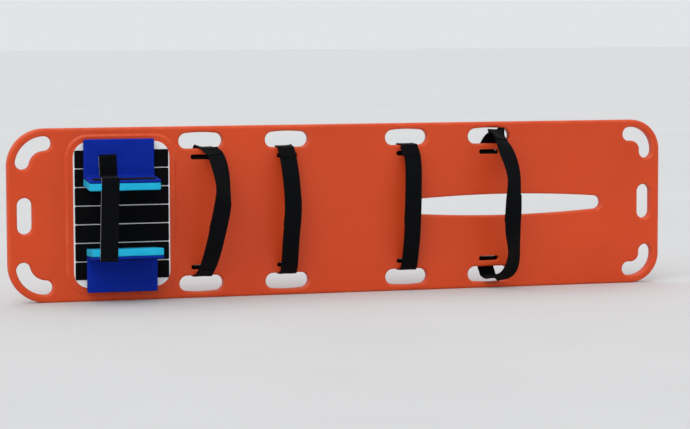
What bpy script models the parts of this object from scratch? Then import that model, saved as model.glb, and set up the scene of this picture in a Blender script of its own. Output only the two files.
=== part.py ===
"""Spine board with a head immobiliser and four body straps.

Metres, +Z up.  The board stands on its long edge: X runs along its length with the
head end at -X, Z runs across its width, and the patient side faces -Y.  The origin is
the middle of the bottom edge.

Flat shapes are drawn in board coordinates (u, v, out): u along the length and v across
the width, both from the board's centre, and out from the patient face towards -Y.
"""
import math

import bmesh
import bpy
from mathutils import Vector

# ---------------------------------------------------------------- driving dimensions
LENGTH = 1.829
WIDTH = 0.457
THICKNESS = 0.030
CORNER_R = {"foot": 0.083, "head": 0.100}
WALL = 0.004
EDGE_ROUND = (0.010, 0.006)
GAP = 0.0003

HANDHOLE = (0.120, 0.042)
HANDHOLE_U = (-0.399, -0.163, 0.173, 0.410)
HANDHOLE_V = 0.190
HOLE_ROUND = 0.006
WEB_SLOT = (0.056, 0.0125)
WEB_SLOT_V = 0.147
SLOT_ROUND = 0.003
END_HOLE = (0.096, 0.040)
END_HOLE_U = 0.8695
CORNER_HOLE_BAND = 0.039
CORNER_HOLE_RIM = 0.020
CORNER_HOLE_ARC = {"foot": (-7.0, 98.0), "head": (12.0, 88.0)}
LEG_SLOT = (0.192, 0.742)
LEG_SLOT_HALF = (0.0215, 0.0295, 0.0190)

PLATEAU_RAISE = 0.004
PLATEAU_BEVEL = 0.006
PLATEAU_MARGIN = 0.014
RUNNER = (1.500, 0.060)
RUNNER_V = 0.085
RUNNER_RAISE = 0.016
RUNNER_BEVEL = 0.008
PORT_U = 0.795
PORT_R = 0.010
PLUG_FLANGE = (0.0030, 0.0020, 0.0015)

ROD_LENGTH = 1.720
ROD_R = 0.006
ROD_BORE_R = 0.0065
ROD_V = 0.1050

PLATE = (0.257, 0.384)
PLATE_U = -0.6145
PLATE_CORNER = 0.040
PLATE_T = 0.003
STRIP_COUNT = 7
STRIP = (0.250, 0.0477)
STRIP_PITCH = 0.0490
STRIP_T = 0.0024
STRIP_CORNER = 0.002

BLOCK_LENGTH = 0.188
BLOCK_HEIGHT = 0.110
FLANGE_T = 0.012
PATCH_T = 0.0018
PAD_T = 0.0195
UPRIGHT_T = 0.0075
TAPE = (0.166, 0.030, 0.0015)
PATCH_INSET = 0.005
SOFT_EDGE = 0.0025
UPPER_BLOCK = {"u": -0.6235, "inner": 0.077, "outer": 0.200, "lean": -0.008}
LOWER_BLOCK = {"u": -0.6170, "inner": 0.0877, "outer": 0.204, "lean": -0.006}

WEB_WIDTH = 0.0465
WEB_T = 0.0018
LAP_STEP = 0.0027
LAP = 0.040
HEAD_STRAP_U = -0.6620
HEAD_STRAP_END = -0.114
HEAD_STRAP_SLANT = 0.030
TAIL_ON_FLANGE = 0.053

# Each strap's free stretch, from its upper bar to its lower bar: points
# (sideways shift from the slot, out, v), joined by a smooth curve.
STRAP_ROUTES = (
    ((0.020, 0.0050, 0.1705), (0.034, 0.040, 0.146), (0.035, 0.086, 0.088), (0.034, 0.107, 0.030),
     (0.021, 0.104, -0.045), (0.009, 0.058, -0.125), (0.002, 0.0050, -0.1705)),
    ((-0.006, 0.0050, 0.1705), (-0.004, 0.031, 0.137), (-0.002, 0.056, 0.075), (-0.001, 0.065, 0.005),
     (-0.005, 0.056, -0.070), (-0.002, 0.030, -0.135), (0.000, 0.0050, -0.1705)),
    ((0.005, 0.0050, 0.1705), (0.009, 0.026, 0.135), (0.006, 0.043, 0.075), (0.002, 0.050, 0.005),
     (0.001, 0.043, -0.072), (0.001, 0.026, -0.135), (0.002, 0.0050, -0.1705)),
    ((0.008, 0.0135, 0.2015), (0.021, 0.056, 0.165), (0.032, 0.097, 0.092), (0.029, 0.112, 0.015),
     (0.030, 0.107, -0.055), (0.043, 0.074, -0.132), (0.038, 0.036, -0.184), (0.006, 0.0135, -0.2015)),
)
THROUGH_HANDHOLE = (False, False, False, True)
# Where a loop that hangs through its handhole goes from the bar's back to the hinge: (out, v).
LOOP_THROUGH = [(-0.026, 0.1825), (-0.018, 0.1965), (0.0095, 0.2015)]

BAR_INNER = WEB_SLOT_V + WEB_SLOT[1] / 2
BAR_OUTER = HANDHOLE_V - HANDHOLE[1] / 2
LOOP_CLEARANCE = 0.0006
LOOP_OFF = LOOP_CLEARANCE + WEB_T / 2
LOOP_BEND = 0.001
SLOT_EASE = 0.001
HANDHOLE_EASE = 0.002

PLATE_BACK = PLATEAU_RAISE + GAP
STRIP_BACK = PLATE_BACK + PLATE_T + GAP
BLOCK_BACK = STRIP_BACK + STRIP_T + GAP
FOAM_BACK = BLOCK_BACK + PATCH_T + GAP


# ---------------------------------------------------------------- scene and materials
def clear_scene():
    for obj in list(bpy.data.objects):
        bpy.data.objects.remove(obj, do_unlink=True)


def material(name, colour, roughness, metallic=0.0):
    mat = bpy.data.materials.new(name)
    mat.use_nodes = True
    shader = mat.node_tree.nodes["Principled BSDF"]
    shader.inputs["Base Color"].default_value = (*colour, 1.0)
    shader.inputs["Roughness"].default_value = roughness
    shader.inputs["Metallic"].default_value = metallic
    return mat


def place(u, v, out):
    """Board coordinates to world coordinates."""
    return Vector((u, -THICKNESS / 2 - out, v + WIDTH / 2))


def finish(name, bm, mat, origin=None):
    """Closes the mesh, puts the object's origin where it is asked and links it."""
    bmesh.ops.recalc_face_normals(bm, faces=bm.faces)
    mesh = bpy.data.meshes.new(name)
    bm.to_mesh(mesh)
    bm.free()
    obj = bpy.data.objects.new(name, mesh)
    bpy.context.scene.collection.objects.link(obj)
    mesh.materials.append(mat)
    if origin is not None:
        for vert in mesh.vertices:
            vert.co -= origin
        obj.location = origin
    return obj


# ---------------------------------------------------------------- flat outlines (u, v)
def arc(centre, radius, start, end, steps):
    """Points on an arc, angles in degrees."""
    points = []
    for i in range(steps + 1):
        angle = math.radians(start + (end - start) * i / steps)
        points.append((centre[0] + radius * math.cos(angle), centre[1] + radius * math.sin(angle)))
    return points


def rounded_rect(centre, size, radii, grow=0.0, steps=6):
    """A rectangle whose two +u corners and two -u corners have the two radii."""
    loop = []
    for quarter, (su, sv) in enumerate(((1, 1), (-1, 1), (-1, -1), (1, -1))):
        radius = radii[0] if su > 0 else radii[1]
        corner = (centre[0] + su * (size[0] / 2 - radius), centre[1] + sv * (size[1] / 2 - radius))
        loop += arc(corner, radius + grow, 90 * quarter, 90 * quarter + 90, steps)
    return loop


def board_outline(grow=0.0):
    return rounded_rect((0, 0), (LENGTH, WIDTH), (CORNER_R["foot"], CORNER_R["head"]), grow, 8)


def obround(centre, size, grow=0.0, steps=6):
    """A slot with round ends along the longer of its two sizes."""
    radius = min(size) / 2
    reach = max(size) / 2 - radius
    loop = []
    for side in (1, -1):
        if size[0] > size[1]:
            end, start = (centre[0] + side * reach, centre[1]), -90 if side > 0 else 90
        else:
            end, start = (centre[0], centre[1] + side * reach), 0 if side > 0 else 180
        loop += arc(end, radius + grow, start, start + 180, steps)
    return loop


def corner_hole(side_u, side_v, grow=0.0, steps=6):
    """A curved hand grip that follows the board's corner, with round ends."""
    end_name = "foot" if side_u > 0 else "head"
    corner_r = CORNER_R[end_name]
    centre = (LENGTH / 2 - corner_r, WIDTH / 2 - corner_r)
    half = CORNER_HOLE_BAND / 2
    middle_r = corner_r - CORNER_HOLE_RIM - half
    start, end = CORNER_HOLE_ARC[end_name]
    first = arc(centre, middle_r, start, start, 1)[0]
    last = arc(centre, middle_r, end, end, 1)[0]
    loop = arc(centre, middle_r + half + grow, start, end, steps)[1:-1]
    loop += arc(last, half + grow, end, end + 180, steps)
    loop += arc(centre, middle_r - half - grow, end, start, steps)[1:-1]
    loop += arc(first, half + grow, start + 180, start + 360, steps)
    loop = [(side_u * u, side_v * v) for u, v in loop]
    return loop if side_u * side_v > 0 else loop[::-1]


def leg_slot(grow=0.0, steps=6):
    """The long centre slot: round ends, and sides that bow out between them."""
    left_half, middle_half, right_half = LEG_SLOT_HALF
    left = (LEG_SLOT[0] + left_half, 0.0)
    right = (LEG_SLOT[1] - right_half, 0.0)

    def side(fraction):
        straight = left_half + (right_half - left_half) * fraction
        bow = middle_half - (left_half + right_half) / 2
        u = left[0] + (right[0] - left[0]) * fraction
        return u, straight + 4 * bow * fraction * (1 - fraction) + grow

    inner_steps = [i / steps for i in range(1, steps)]
    loop = arc(right, right_half + grow, -90, 90, steps)
    loop += [side(1 - f) for f in inner_steps]
    loop += arc(left, left_half + grow, 90, 270, steps)
    loop += [(u, -v) for u, v in (side(f) for f in inner_steps)]
    return loop


def board_holes(grow=0.0):
    """All through holes of the board, each as (outline, rounding of its rim)."""
    holes = []
    for side in (1, -1):
        for u in HANDHOLE_U:
            holes.append((obround((u, side * HANDHOLE_V), HANDHOLE, grow), HOLE_ROUND))
            holes.append((obround((u, side * WEB_SLOT_V), WEB_SLOT, grow, 4), SLOT_ROUND))
        end_size = (END_HOLE[1], END_HOLE[0])
        holes.append((obround((side * END_HOLE_U, 0), end_size, grow), HOLE_ROUND))
        holes += [(corner_hole(side, sv, grow), HOLE_ROUND) for sv in (1, -1)]
    holes.append((leg_slot(grow), HOLE_ROUND))
    return holes


# ---------------------------------------------------------------- mesh building blocks
def ring(bm, loop, out):
    return [bm.verts.new(place(u, v, out)) for u, v in loop]


def bridge(bm, first, second):
    count = len(first)
    for i in range(count):
        j = (i + 1) % count
        bm.faces.new((first[i], first[j], second[j], second[i]))


def fill(bm, rings):
    """Fills the flat region between an outer ring and any rings inside it."""
    edges = []
    for verts in rings:
        for a, b in zip(verts, verts[1:] + verts[:1]):
            edges.append(bm.edges.get((a, b)) or bm.edges.new((a, b)))
    bmesh.ops.triangle_fill(bm, use_beauty=True, edges=edges, normal=(0, -1, 0))


def through_wall(bm, profile):
    """Walls through the board for one outline; returns its front and back rings."""
    rings = [ring(bm, loop, out) for loop, out in profile]
    for a, b in zip(rings, rings[1:]):
        bridge(bm, a, b)
    return rings[0], rings[-1]


def step_ring(bm, base_loop, top_loop, out, raise_out):
    """A raised patch on a face: bevel all round and a flat top."""
    base = ring(bm, base_loop, out)
    top = ring(bm, top_loop, out + raise_out)
    bridge(bm, base, top)
    fill(bm, [top])
    return base


def prism(bm, loop, back, front):
    low = ring(bm, loop, back)
    high = ring(bm, loop, front)
    bridge(bm, low, high)
    fill(bm, [low])
    fill(bm, [high])


def slab(name, loop, back, front, mat):
    bm = bmesh.new()
    prism(bm, loop, back, front)
    return finish(name, bm, mat)


def extrude_section(name, section, u_centre, length, mat):
    """A closed (v, out) section extruded along the board's length."""
    bm = bmesh.new()
    ends = []
    for u in (u_centre - length / 2, u_centre + length / 2):
        ends.append([bm.verts.new(place(u, v, out)) for v, out in section])
    bridge(bm, *ends)
    for end in ends:
        bm.faces.new(end)
    return finish(name, bm, mat)


def ribbon(name, route, mat, hinge=None):
    """Webbing of constant width along a route of world points, flat across X."""
    bm = bmesh.new()
    rings = []
    for i, point in enumerate(route):
        before = route[max(i - 1, 0)]
        after = route[min(i + 1, len(route) - 1)]
        along = (after - before).normalized()
        normal = along.cross(Vector((1, 0, 0))).normalized() * WEB_T / 2
        across = Vector((WEB_WIDTH / 2, 0, 0))
        corners = (point + across + normal, point - across + normal,
                   point - across - normal, point + across - normal)
        rings.append([bm.verts.new(c) for c in corners])
    for a, b in zip(rings, rings[1:]):
        bridge(bm, a, b)
    bm.faces.new(rings[0])
    bm.faces.new(rings[-1])
    return finish(name, bm, mat, hinge)


def smooth_route(points, steps):
    """Catmull-Rom curve through the points, as board coordinates."""
    points = [Vector(p) for p in points]
    padded = [2 * points[0] - points[1]] + points + [2 * points[-1] - points[-2]]
    route = []
    for i in range(1, len(padded) - 2):
        p0, p1, p2, p3 = padded[i - 1:i + 3]
        for k in range(steps):
            t = k / steps
            route.append(0.5 * (2 * p1 + (p2 - p0) * t + (2 * p0 - 5 * p1 + 4 * p2 - p3) * t * t
                                + (3 * p1 - p0 - 3 * p2 + p3) * t ** 3))
    route.append(points[-1])
    return route


# ---------------------------------------------------------------- the board
def board_shell(mat):
    """Hollow moulded skin; its cavity opens through two filling ports in the back."""
    bm = bmesh.new()
    front_rings, back_rings = [], []

    def add(loop_at, profile):
        first, last = through_wall(bm, [(loop_at(inset), out) for inset, out in profile])
        front_rings.append(first)
        back_rings.append(last)

    flat, deep = EDGE_ROUND
    shoulder = 1 - math.sqrt(0.5)
    edge = [(-flat, 0.0), (-flat * shoulder, -deep * shoulder), (0.0, -deep)]
    edge += [(inset, -THICKNESS - out) for inset, out in edge[::-1]]
    add(board_outline, edge)
    for index, (loop, rounding) in enumerate(board_holes()):
        rim = [(rounding, 0.0), (0.0, -rounding), (0.0, rounding - THICKNESS), (rounding, -THICKNESS)]
        add(lambda inset, i=index: board_holes(inset)[i][0], rim)

    plateau = (PLATE[0] + 2 * PLATEAU_MARGIN, PLATE[1] + 2 * PLATEAU_MARGIN)
    plateau_r = (PLATE_CORNER + PLATEAU_MARGIN,) * 2
    base = rounded_rect((PLATE_U, 0), plateau, plateau_r, PLATEAU_BEVEL, 4)
    top = rounded_rect((PLATE_U, 0), plateau, plateau_r, 0.0, 4)
    front_rings.append(step_ring(bm, base, top, 0.0, PLATEAU_RAISE))
    for side in (1, -1):
        base = obround((0, side * RUNNER_V), RUNNER, 0.0, 4)
        top = obround((0, side * RUNNER_V), RUNNER, -RUNNER_BEVEL, 4)
        back_rings.append(step_ring(bm, base, top, -THICKNESS, -RUNNER_RAISE))

    inner_loops = [board_outline(-WALL)]
    inner_loops += [loop for loop, _ in board_holes(WALL)]
    inner_front, inner_back = [], []
    for loop in inner_loops:
        first, last = through_wall(bm, [(loop, -WALL), (loop, WALL - THICKNESS)])
        inner_front.append(first)
        inner_back.append(last)
    for side in (1, -1):
        port = arc((side * PORT_U, 0), PORT_R, 0, 360, 16)[:-1]
        first, last = through_wall(bm, [(port, WALL - THICKNESS), (port, -THICKNESS)])
        inner_back.append(first)
        back_rings.append(last)
    for rings in (front_rings, back_rings, inner_front, inner_back):
        fill(bm, rings)
    return finish("board_shell", bm, mat)


def foam_core(mat):
    """Rigid foam that fills the skin, with a bore end to end for each stiffener rod."""
    bm = bmesh.new()
    inset = WALL + GAP
    fronts, backs = [], []
    loops = [board_outline(-inset)]
    loops += [loop for loop, _ in board_holes(inset)]
    for loop in loops:
        first, last = through_wall(bm, [(loop, -inset), (loop, inset - THICKNESS)])
        fronts.append(first)
        backs.append(last)
    fill(bm, fronts)
    fill(bm, backs)
    core = finish("foam_core", bm, mat)
    for side in (1, -1):
        cutter = rod("core_cutter_%s" % ("upper" if side > 0 else "lower"), side, ROD_BORE_R, LENGTH, mat)
        cutter.hide_render = True
        cutter.display_type = "WIRE"
        cut = core.modifiers.new("rod_bore", "BOOLEAN")
        cut.object = cutter
        cut.operation = "DIFFERENCE"
        cut.solver = "EXACT"
    return core


def rod(name, side, radius, length, mat):
    bm = bmesh.new()
    bmesh.ops.create_cone(bm, cap_ends=True, segments=12, radius1=radius, radius2=radius, depth=length)
    obj = finish(name, bm, mat)
    obj.rotation_euler = (0, math.radians(90), 0)
    obj.location = place(0, side * ROD_V, -THICKNESS / 2)
    return obj


def port_plug(name, side, mat):
    """Push-in plug that closes a filling port: a thin head outside, a stem inside."""
    bm = bmesh.new()
    centre = (side * PORT_U, 0)
    stem_r = PORT_R - GAP
    base_reach, top_reach, flange_t = PLUG_FLANGE
    under = -THICKNESS - GAP
    loops = ((stem_r, WALL - THICKNESS), (stem_r, under),
             (PORT_R + base_reach, under), (PORT_R + top_reach, under - flange_t))
    rings = [ring(bm, arc(centre, radius, 0, 360, 16)[:-1], out) for radius, out in loops]
    for a, b in zip(rings, rings[1:]):
        bridge(bm, a, b)
    fill(bm, [rings[0]])
    fill(bm, [rings[-1]])
    return finish(name, bm, mat)


# ---------------------------------------------------------------- the head immobiliser
def head_base(plate_mat, strip_mat):
    loop = rounded_rect((PLATE_U, 0), PLATE, (PLATE_CORNER,) * 2)
    slab("head_base_plate", loop, PLATE_BACK, PLATE_BACK + PLATE_T, plate_mat)
    for i in range(STRIP_COUNT):
        v = ((STRIP_COUNT - 1) / 2 - i) * STRIP_PITCH
        loop = rounded_rect((PLATE_U, v), STRIP, (STRIP_CORNER,) * 2, 0.0, 1)
        slab("hook_strip_%d" % (i + 1), loop, STRIP_BACK, STRIP_BACK + STRIP_T, strip_mat)


def lean(block, v, out):
    """Where a point of a block's upright goes when the upright leans."""
    return v + block["lean"] * (out - FOAM_BACK) / (BLOCK_HEIGHT - FOAM_BACK), out


def head_block(name, block, side, mats):
    """An L of blue foam, with the head pad inside it and the hook patch under it."""
    inner, outer = block["inner"], block["outer"]
    back = inner + PAD_T + GAP
    heel = back + UPRIGHT_T
    top = BLOCK_HEIGHT
    flange = FOAM_BACK + FLANGE_T
    foam = [(back, FOAM_BACK), (outer, FOAM_BACK), (outer, flange)]
    foam += [lean(block, *p) for p in ((heel, flange), (heel, top - SOFT_EDGE),
                                       (heel - SOFT_EDGE, top), (back, top))]
    pad = [(inner, FOAM_BACK), (inner + PAD_T, FOAM_BACK)]
    pad += [lean(block, *p) for p in ((inner + PAD_T, top), (inner + SOFT_EDGE, top),
                                      (inner, top - SOFT_EDGE))]
    patch_inner, patch_outer = inner + PATCH_INSET, outer - PATCH_INSET
    patch = [(patch_inner, BLOCK_BACK), (patch_outer, BLOCK_BACK),
             (patch_outer, BLOCK_BACK + PATCH_T), (patch_inner, BLOCK_BACK + PATCH_T)]
    tape_top = top - 2 * SOFT_EDGE
    near, far = heel + GAP, heel + GAP + TAPE[2]
    tape = [lean(block, *p) for p in ((near, tape_top - TAPE[1]), (far, tape_top - TAPE[1]),
                                      (far, tape_top), (near, tape_top))]
    sections = (("foam", foam, BLOCK_LENGTH), ("pad", pad, BLOCK_LENGTH),
                ("hook_patch", patch, BLOCK_LENGTH - PATCH_INSET), ("tape", tape, TAPE[0]))
    for part, section, length in sections:
        section = [(side * v, out) for v, out in section]
        extrude_section("%s_%s" % (name, part), section, block["u"], length, mats[part])


def head_strap(block, mat):
    """The tail lies on the upper block; the span crosses the ridges and hinges there."""
    off = GAP + WEB_T / 2
    heel = block["inner"] + PAD_T + GAP + UPRIGHT_T
    ridge = BLOCK_HEIGHT + off
    flange = FOAM_BACK + FLANGE_T + off
    face = heel + GAP + TAPE[2] + off
    bend = 2 * LOOP_BEND
    tail = [lean(block, face, ridge - SOFT_EDGE), lean(block, face, flange + bend),
            (face + bend, flange), (face + TAIL_ON_FLANGE, flange)]
    start = lean(block, heel, ridge)[0]
    count = 6
    span = [(start + (HEAD_STRAP_END - start) * i / count, ridge) for i in range(count + 1)]
    for name, route, hinged in (("head_strap_tail", tail, False), ("head_strap_span", span, True)):
        world = [place(HEAD_STRAP_U + HEAD_STRAP_SLANT * (v - start), v, out) for v, out in route]
        ribbon(name, world, mat, world[0] if hinged else None)


# ---------------------------------------------------------------- the body straps
def bar_loop(name, u, side, shift, through, mat):
    """Webbing that comes through its slot and wraps the bar up to the strap's hinge."""
    back = -THICKNESS - LOOP_OFF
    inner, outer = BAR_INNER - LOOP_OFF - SLOT_EASE, BAR_OUTER + LOOP_OFF + HANDHOLE_EASE
    mouth = WEB_SLOT_V - WEB_SLOT[1] / 2 + LOOP_OFF + SLOT_EASE
    path = [(-SLOT_ROUND, mouth), (back + LOOP_BEND, inner), (back, inner + LOOP_BEND)]
    if through:
        path += [(back, outer)]
        path += LOOP_THROUGH
    else:
        path += [(back, outer - LOOP_BEND), (back + LOOP_BEND, outer), (-0.5 * SLOT_ROUND, outer)]
    slant_from = 2
    last = len(path) - 1
    points = []
    for i, (out, v) in enumerate(path):
        fraction = max(0.0, (i - slant_from) / (last - slant_from))
        points.append(place(u + shift * fraction, side * v, out))
    ribbon(name, points, mat)


def body_strap(number, u, route, through, mat):
    """Two halves that lap at the middle, each hinged where it leaves its bar's loop."""
    steps = 4
    points = smooth_route(route, steps)
    points = [Vector((u + p[0], p[2], p[1])) for p in points]
    middle = [i for i, p in enumerate(points) if p[1] > -LAP]
    upper = points[:middle[-1] + 1]
    lower = [p for p in points if p[1] < LAP]
    under = []
    for i, p in enumerate(lower):
        share = min(1.0, (len(lower) - 1 - i) / (0.5 * len(lower)))
        under.append(Vector((p[0], p[1], p[2] - LAP_STEP * share)))
    under.reverse()
    for half, stretch, side in (("upper", upper, 1), ("lower", under, -1)):
        world = [place(*p) for p in stretch]
        ribbon("strap_%d_%s_half" % (number, half), world, mat, world[0])
        shift = stretch[0][0] - u
        bar_loop("strap_%d_%s_loop" % (number, half), u, side, shift, through, mat)


# ---------------------------------------------------------------- the whole object
def build():
    clear_scene()
    orange = material("orange_polyethylene", (0.66, 0.115, 0.022), 0.42)
    foam_white = material("core_foam", (0.85, 0.82, 0.70), 0.9)
    rod_grey = material("rod_fibreglass", (0.10, 0.10, 0.11), 0.5)
    plug_orange = material("plug_polyethylene", (0.60, 0.10, 0.02), 0.45)
    plate_white = material("white_plate", (0.86, 0.86, 0.86), 0.35)
    hook_black = material("hook_tape", (0.012, 0.012, 0.014), 0.85)
    blue = material("blue_foam", (0.002, 0.022, 0.33), 0.6)
    cyan = material("cyan_foam", (0.012, 0.46, 0.72), 0.6)
    web_black = material("black_webbing", (0.012, 0.013, 0.016), 0.8)

    board_shell(orange)
    foam_core(foam_white)
    rod("stiffener_rod_upper", 1, ROD_R, ROD_LENGTH, rod_grey)
    rod("stiffener_rod_lower", -1, ROD_R, ROD_LENGTH, rod_grey)
    port_plug("port_plug_head", -1, plug_orange)
    port_plug("port_plug_foot", 1, plug_orange)

    head_base(plate_white, hook_black)
    mats = {"foam": blue, "pad": cyan, "hook_patch": hook_black, "tape": hook_black}
    head_block("upper_block", UPPER_BLOCK, 1, mats)
    head_block("lower_block", LOWER_BLOCK, -1, mats)
    head_strap(UPPER_BLOCK, web_black)

    for number, (u, route, through) in enumerate(zip(HANDHOLE_U, STRAP_ROUTES, THROUGH_HANDHOLE), 1):
        body_strap(number, u, route, through, web_black)


build()
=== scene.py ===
"""Looks of the spine board: moulded shell, head immobiliser and webbing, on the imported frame.

Metres, +Z up.  Flat shapes are drawn in board coordinates (u, v, out): u along the length
and v across the width, both from the board's centre, and out from the patient face.
"""

import math
from bisect import bisect_right
from collections import namedtuple

import bmesh
import bpy
from mathutils import Matrix, Vector, noise
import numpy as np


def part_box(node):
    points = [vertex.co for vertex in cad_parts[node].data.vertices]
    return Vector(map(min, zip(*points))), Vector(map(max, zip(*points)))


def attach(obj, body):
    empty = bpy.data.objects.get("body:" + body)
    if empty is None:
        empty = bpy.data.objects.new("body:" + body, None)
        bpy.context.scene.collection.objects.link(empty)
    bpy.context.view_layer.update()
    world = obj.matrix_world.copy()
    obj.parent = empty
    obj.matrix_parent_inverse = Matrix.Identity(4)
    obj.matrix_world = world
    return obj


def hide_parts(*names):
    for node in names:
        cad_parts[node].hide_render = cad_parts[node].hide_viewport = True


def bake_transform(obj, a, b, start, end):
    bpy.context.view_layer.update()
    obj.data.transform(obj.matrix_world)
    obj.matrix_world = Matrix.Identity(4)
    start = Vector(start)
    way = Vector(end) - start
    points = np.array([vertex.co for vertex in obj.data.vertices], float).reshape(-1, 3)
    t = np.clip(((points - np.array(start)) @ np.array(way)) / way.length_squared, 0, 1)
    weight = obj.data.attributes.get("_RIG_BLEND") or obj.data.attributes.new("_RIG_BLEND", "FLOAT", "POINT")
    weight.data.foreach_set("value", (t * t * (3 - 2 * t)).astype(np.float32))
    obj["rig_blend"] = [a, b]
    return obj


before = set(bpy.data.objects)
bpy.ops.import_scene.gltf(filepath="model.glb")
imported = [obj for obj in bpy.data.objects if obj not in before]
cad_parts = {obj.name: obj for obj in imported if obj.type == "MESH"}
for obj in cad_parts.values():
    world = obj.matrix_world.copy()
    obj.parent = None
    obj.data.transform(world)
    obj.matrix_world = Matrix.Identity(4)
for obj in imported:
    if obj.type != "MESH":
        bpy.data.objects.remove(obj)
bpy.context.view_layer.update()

# ---------------------------------------------------------------- sizes
SHELL_LOW, SHELL_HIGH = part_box("board_shell")
LENGTH = SHELL_HIGH.x - SHELL_LOW.x
WIDTH = SHELL_HIGH.z - SHELL_LOW.z
THICKNESS = 0.030
CORNER_R = {"foot": 0.083, "head": 0.100}
# A rim's rounding: how far it reaches along the face, and how deep below it.
EDGE_ROUND = (0.0088, 0.006)
HOLE_ROUND = (0.0064, 0.006)
SLOT_ROUND = (0.003, 0.003)
# The mould's parting line: its depth, and how far from mid-thickness it sets in and is full.
SEAM = 0.0004
SEAM_BAND = (0.0020, 0.0006)

HANDHOLE = (0.120, 0.042)
HANDHOLE_ARCH = 0.002
HANDHOLE_U = (-0.399, -0.163, 0.173, 0.410)
HANDHOLE_V = 0.190
WEB_SLOT = (0.056, 0.0125)
WEB_SLOT_V = 0.147
END_HOLE = (0.096, 0.040)
END_HOLE_U = 0.8695
CORNER_HOLE_BAND = 0.039
CORNER_HOLE_RIM = 0.020
CORNER_HOLE_ARC = {"foot": (-7.0, 98.0), "head": (12.0, 88.0)}
LEG_SLOT = (0.192, 0.742)
LEG_SLOT_HALF = (0.0215, 0.0295, 0.0190)

PLATEAU_RAISE = 0.004
PLATEAU_BEVEL = 0.006
PLATEAU_MARGIN = 0.014
# How far the slopes of the plateau and the runners run on at both ends.
STEP_OVERRUN = 0.001
RUNNER = (1.500, 0.060)
RUNNER_V = 0.085
RUNNER_RAISE = 0.016
RUNNER_BEVEL = 0.008
# A plug's section, from its foot over its rim to its dish: (inward, share of its height).
PLUG_PROFILE = ((0.0, 0.0), (0.0, 0.4), (0.0003, 0.7), (0.0010, 0.93), (0.0022, 1.0), (0.0040, 1.0),
                (0.0052, 0.8), (0.0060, 0.55), (0.0075, 0.5))

PLATE_CORNER = 0.040
PLATE_ROUND = 0.0009
STRIP_COUNT = 7
STRIP_CORNER = 0.002
STRIP_SELVEDGE = 0.0014
STRIP_SELVEDGE_SHARE = 0.6
STRIP_TRIM = 0.0006
STRIP_BEVEL = 0.0004
STRIP_FOOT = 0.0003
PILE_DROP = 0.0002
PILE_FLARE = 0.0003

FLANGE_T = 0.012
PAD_T = 0.0195
UPRIGHT_T = 0.0075
FOAM_GAP = 0.0003
# How far the top of a block's upright lies from its foot, away from the board's middle.
LEANS = {"upper_block": -0.008, "lower_block": -0.006}
FOAM_VOXEL = 0.0022
FOAM_SMOOTHING = 4
FOAM_DENT = 0.0004
DENT_SCALES = (22.0, 95.0)
FINE_DENT_SHARE = 0.3
PATCH_CORNER = 0.004
PATCH_ROUND = 0.0006
TAPE_CORNER = 0.003
# The tape's layers from the foam outwards: (lift, inset).
TAPE_LAYERS = ((0.0002, 0.0), (0.0012, 0.0), (0.0015, 0.0006))

WEB_WIDTH = 0.0465
WEB_T = 0.0018
WEB_STEP = 0.002
WEB_CUP = 0.0005
# A ribbon's selvedge: its swell as a share of the thickness, then its middle and its spread
# as shares of the half width. The power squares off the ribbon's section.
SELVEDGE = (0.22, 0.93, 0.035)
SECTION_POWER = 24
# A ribbon's ripple: its height, then its pace along the ribbon, across it and between ribbons.
RIPPLE = (0.0005, 26.0, 1.3, 7.7)
WEAVE_PITCH = (0.0016, 0.0013)
# A body strap fills its slot: its width there, the run up to which it is wider than
# elsewhere, and the last part of that run, over which it narrows.
SLOT_FILL = 0.0545
SLOT_RUN = 0.040
SLOT_FADE = 0.012
ROUTE_STEPS = 14
LAP_STEP = 0.0027
LAP = 0.040
# The tab sewn under a strap, from its hinge, and its box stitch, from the tab's ends.
TAB = (0.006, 0.040)
TAB_NARROWER = 0.001
TAB_SHIFT = (0.0, 0.0, -0.006, 0.0)
TAB_STITCH_INSET = (0.006, 0.003)
BOX_STITCH_WIDTH = 0.034
HEM = 0.024
SEAM_INSET = 0.003
SEAM_HALF = 0.019
# The hook patch on a lower half: how far from the strap's end it starts, and the gap it
# leaves beside the lap.
HOOK_PATCH_START = 0.135
HOOK_PATCH_GAP = 0.004
HOOK_PATCH_NARROWER = 0.007
HOOK_PATCH_SEAM_HALF = 0.0175
HOOK_PATCH_SEAM_INSET = 0.002
STITCH = 0.0032
STITCH_SPAN = (0.12, 0.88)
THREAD_R = 0.0005
STITCH_SINK = 0.0001

HEAD_STRAP_U = -0.6620
HEAD_STRAP_END = -0.114
HEAD_STRAP_SLANT = 0.030
HEAD_STRAP_SEED = 31
HEAD_STRAP_BEND = 0.004
HEAD_STRAP_SEAM_INSET = (0.004, 0.006)
TAIL_ON_FLANGE = 0.057
TAIL_ASIDE = (0.0055, 0.0095)
TAIL_LIFT = 0.0016
TAPE_CLEARANCE = 0.0014
FACE_LEAN = 0.0006
RIDGE_RUN = 0.006
SAG = 0.0022
SAG_SHARE = 0.70
SAG_STEPS = 12
# A pale grey layer under the head strap, narrower and shifted to one side, which shows as a thin pale line
# along one edge of the strap.
EDGE_LAYER_NARROWER = 0.0012
EDGE_LAYER_SHIFT = -0.0016

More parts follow.
